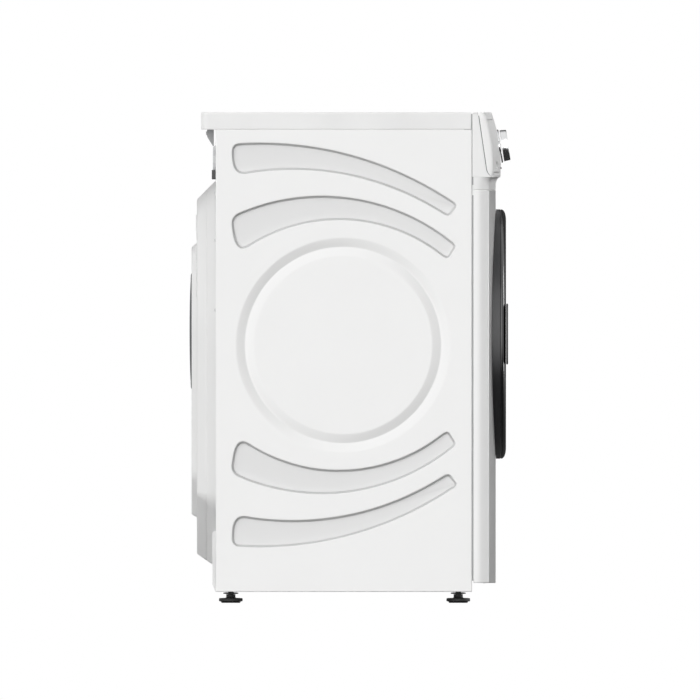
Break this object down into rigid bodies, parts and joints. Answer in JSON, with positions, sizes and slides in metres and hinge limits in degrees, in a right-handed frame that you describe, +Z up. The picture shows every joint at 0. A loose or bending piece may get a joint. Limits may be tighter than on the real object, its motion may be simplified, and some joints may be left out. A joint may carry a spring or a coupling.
{
  "type": "clothes dryer",
  "caption": "Front-loading tumble dryer: white steel cabinet with pressed side panels, round dark door, leaning control strip, rear air duct cover and levelling feet.",
  "frame": {"origin": "on the floor, under the middle of the machine", "axes": "+Z up, -Y out of the front, +X towards the machine's right as it looks out, which is the door's hinge side"},
  "size_m": [0.595, 0.5559, 0.85],
  "materials": {
    "white_enamel": "satin white enamel",
    "white_laminate": "particle board with a satin white laminate",
    "white_plastic": "satin",
    "grey_plastic": "fine grain",
    "black_plastic": "satin",
    "gloss_black": "gloss",
    "tinted_glass": "polished",
    "clear_glass": "polished",
    "rubber": "matt",
    "silver_trim": "satin",
    "steel": "brushed",
    "galvanised_steel": "spangled, matt",
    "felt": "wool felt",
    "circuit_board": "lacquered",
    "fin_aluminium": "mill"
  },
  "bodies": {
    "cabinet": {"base_pan": "white_plastic", "side_panel_left": "white_enamel", "side_panel_right": "white_enamel", "back_panel": "galvanised_steel", "top_panel": "white_laminate", "rear_top_rail": "grey_plastic", "rear_duct_cover": "white_plastic", "bearing_cap": "grey_plastic", "rear_bearing": "steel", "mains_inlet": "black_plastic", "front_panel": "white_enamel", "control_frame": "white_plastic", "control_fascia": "white_plastic", "display_window": "tinted_glass", "knob_bezel": "silver_trim", "control_board": "circuit_board", "latch_catch": "white_plastic", "hinge_bracket": "black_plastic", "front_bulkhead": "grey_plastic", "drum_felt_seal": "felt", "drive_belt": "rubber", "motor": "galvanised_steel", "blower_housing": "grey_plastic", "heat_exchanger": "fin_aluminium", "compressor": "black_plastic", "filter_housing": "grey_plastic"},
    "door": {"door_ring": "gloss_black", "door_glass": "tinted_glass", "door_inner_frame": "white_plastic", "door_bowl": "clear_glass", "door_seal": "rubber", "door_handle": "black_plastic", "latch_hook": "steel", "door_hinge_leaf": "black_plastic"},
    "drum": {"drum_shell": "steel", "drum_back": "steel", "drum_shaft": "steel", "drum_lifter_1": "white_plastic", "drum_lifter_2": "white_plastic", "drum_lifter_3": "white_plastic"},
    "motor_rotor": {"motor_rotor": "steel", "blower_wheel": "black_plastic"},
    "idler_arm": {"idler_arm": "steel"},
    "idler_pulley": {"idler_pulley": "black_plastic"},
    "roller_left": {"drum_roller_left": "rubber"},
    "roller_right": {"drum_roller_right": "rubber"},
    "knob": {"program_knob": "silver_trim"},
    "power_button": {"power_button": "silver_trim"},
    "start_button": {"start_button": "silver_trim"},
    "option_button_1": {"option_button_1": "silver_trim"},
    "option_button_2": {"option_button_2": "silver_trim"},
    "option_button_3": {"option_button_3": "silver_trim"},
    "water_tank": {"water_tank": "clear_glass", "water_tank_front": "white_plastic"},
    "lint_filter": {"lint_filter": "white_plastic"},
    "service_flap": {"service_flap": "white_enamel"},
    "foot_front_left": {"foot_front_left": "rubber"},
    "foot_front_right": {"foot_front_right": "rubber"},
    "foot_rear_left": {"foot_rear_left": "rubber"},
    "foot_rear_right": {"foot_rear_right": "rubber"}
  },
  "joints": [
    {"name": "door_hinge", "type": "hinge", "parent": "cabinet", "child": "door", "pos_m": [0.223, -0.254, 0.4657], "axis": [0, 0, 1], "range_deg": [0, 135]},
    {"name": "drum_spin", "type": "hinge", "parent": "cabinet", "child": "drum", "pos_m": [0, 0, 0.471], "axis": [0, 1, 0], "continuous": true},
    {"name": "motor_spin", "type": "hinge", "parent": "cabinet", "child": "motor_rotor", "pos_m": [0.165, 0, 0.11], "axis": [0, 1, 0], "continuous": true},
    {"name": "idler_arm_swing", "type": "hinge", "parent": "cabinet", "child": "idler_arm", "pos_m": [0.03957, 0, 0.07602], "axis": [0, 1, 0], "range_deg": [0, 8], "stiffness_Nm_per_rad": 5, "springref_deg": -11.46},
    {"name": "idler_spin", "type": "hinge", "parent": "idler_arm", "child": "idler_pulley", "pos_m": [0.09757, 0, 0.10602], "axis": [0, 1, 0], "continuous": true},
    {"name": "roller_left_spin", "type": "hinge", "parent": "cabinet", "child": "roller_left", "pos_m": [-0.15596, 0, 0.22142], "axis": [0, 1, 0], "continuous": true},
    {"name": "roller_right_spin", "type": "hinge", "parent": "cabinet", "child": "roller_right", "pos_m": [0.15596, 0, 0.22142], "axis": [0, 1, 0], "continuous": true},
    {"name": "knob_turn", "type": "hinge", "parent": "cabinet", "child": "knob", "pos_m": [0, -0.25895, 0.791], "axis": [0, -0.989, 0.1478], "continuous": true},
    {"name": "power_button_press", "type": "slide", "parent": "cabinet", "child": "power_button", "axis": [0, 0.989, -0.1478], "range_m": [0, 0.0015], "stiffness_N_per_m": 300},
    {"name": "start_button_press", "type": "slide", "parent": "cabinet", "child": "start_button", "axis": [0, 0.989, -0.1478], "range_m": [0, 0.0015], "stiffness_N_per_m": 300},
    {"name": "option_button_1_press", "type": "slide", "parent": "cabinet", "child": "option_button_1", "axis": [0, 0.989, -0.1478], "range_m": [0, 0.0015], "stiffness_N_per_m": 300},
    {"name": "option_button_2_press", "type": "slide", "parent": "cabinet", "child": "option_button_2", "axis": [0, 0.989, -0.1478], "range_m": [0, 0.0015], "stiffness_N_per_m": 300},
    {"name": "option_button_3_press", "type": "slide", "parent": "cabinet", "child": "option_button_3", "axis": [0, 0.989, -0.1478], "range_m": [0, 0.0015], "stiffness_N_per_m": 300},
    {"name": "water_tank_slide", "type": "slide", "parent": "cabinet", "child": "water_tank", "axis": [0, -1, 0], "range_m": [0, 0.3]},
    {"name": "lint_filter_slide", "type": "slide", "parent": "cabinet", "child": "lint_filter", "axis": [0, 0, 1], "range_m": [0, 0.1]},
    {"name": "service_flap_hinge", "type": "hinge", "parent": "cabinet", "child": "service_flap", "pos_m": [0.166, -0.2513, 0.0626], "axis": [1, 0, 0], "range_deg": [0, 80]},
    {"name": "foot_front_left_turn", "type": "hinge", "parent": "cabinet", "child": "foot_front_left", "pos_m": [-0.247, -0.1875, 0], "axis": [0, 0, 1], "continuous": true},
    {"name": "foot_front_right_turn", "type": "hinge", "parent": "cabinet", "child": "foot_front_right", "pos_m": [0.247, -0.1875, 0], "axis": [0, 0, 1], "continuous": true},
    {"name": "foot_rear_left_turn", "type": "hinge", "parent": "cabinet", "child": "foot_rear_left", "pos_m": [-0.247, 0.2064, 0], "axis": [0, 0, 1], "continuous": true},
    {"name": "foot_rear_right_turn", "type": "hinge", "parent": "cabinet", "child": "foot_rear_right", "pos_m": [0.247, 0.2064, 0], "axis": [0, 0, 1], "continuous": true}
  ],
  "couplings": [
    {"joint": "motor_spin", "follows": "drum_spin", "ratio": 17.839},
    {"joint": "idler_spin", "follows": "drum_spin", "ratio": -17.39},
    {"joint": "roller_left_spin", "follows": "drum_spin", "ratio": -13.7},
    {"joint": "roller_right_spin", "follows": "drum_spin", "ratio": -13.7}
  ]
}
